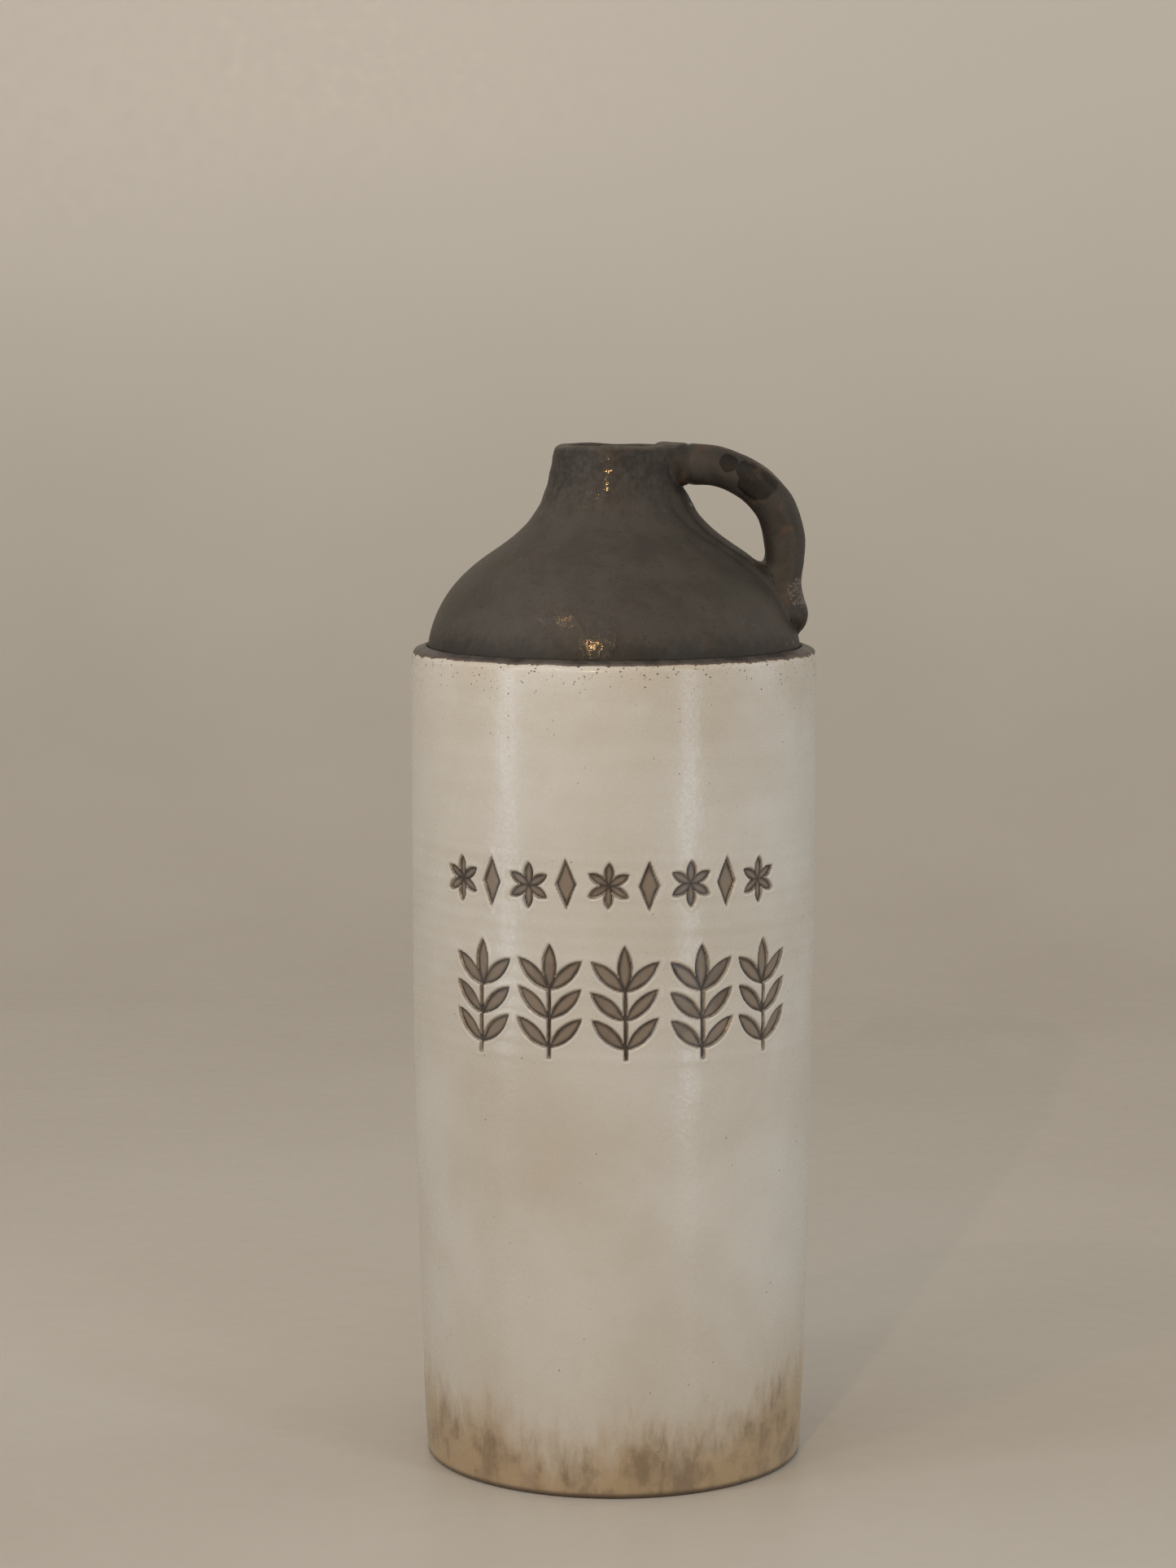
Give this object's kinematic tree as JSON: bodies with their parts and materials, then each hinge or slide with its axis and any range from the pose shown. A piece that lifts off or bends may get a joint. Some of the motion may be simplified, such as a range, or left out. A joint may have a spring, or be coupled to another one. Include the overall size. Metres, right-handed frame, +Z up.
{
  "type": "stoneware jug",
  "caption": "Tall glazed stoneware jug with a dark shoulder and neck, a one-finger loop handle beside the mouth and rows of stamped ornament; holds and pours liquid.",
  "frame": {"origin": "centre of the base, on the floor, on the jug's axis", "axes": "+Z up along the jug's axis to the mouth, +X towards the handle, -Y to the front with the stamped rows"},
  "size_m": [0.1408, 0.1408, 0.3547],
  "materials": {
    "bare_clay": "bare fired stoneware, matt, with a thin glaze wash",
    "cream_glaze": "cream stoneware glaze, satin gloss, slight orange peel, iron specks, brown foot",
    "dark_glaze": "dark brown-grey dipped glaze, satin, mottled",
    "ledge_glaze": "edge of the dark dipped glaze, satin, thin over the ledge",
    "oxide_wash": "brown oxide wash under clear glaze, in the stamped marks"
  },
  "bodies": {
    "root": {"base_disc": "bare_clay", "body_wall": "cream_glaze", "floor_coil": "bare_clay", "shoulder_dome": "dark_glaze", "shoulder_coil": "bare_clay", "neck_ring": "dark_glaze", "handle_strap": "dark_glaze", "handle_upper_pad": "dark_glaze", "handle_lower_tail": "dark_glaze", "ledge_glaze": "ledge_glaze", "small_stamp_wash": "oxide_wash", "large_stamp_wash": "oxide_wash"}
  },
  "joints": []
}
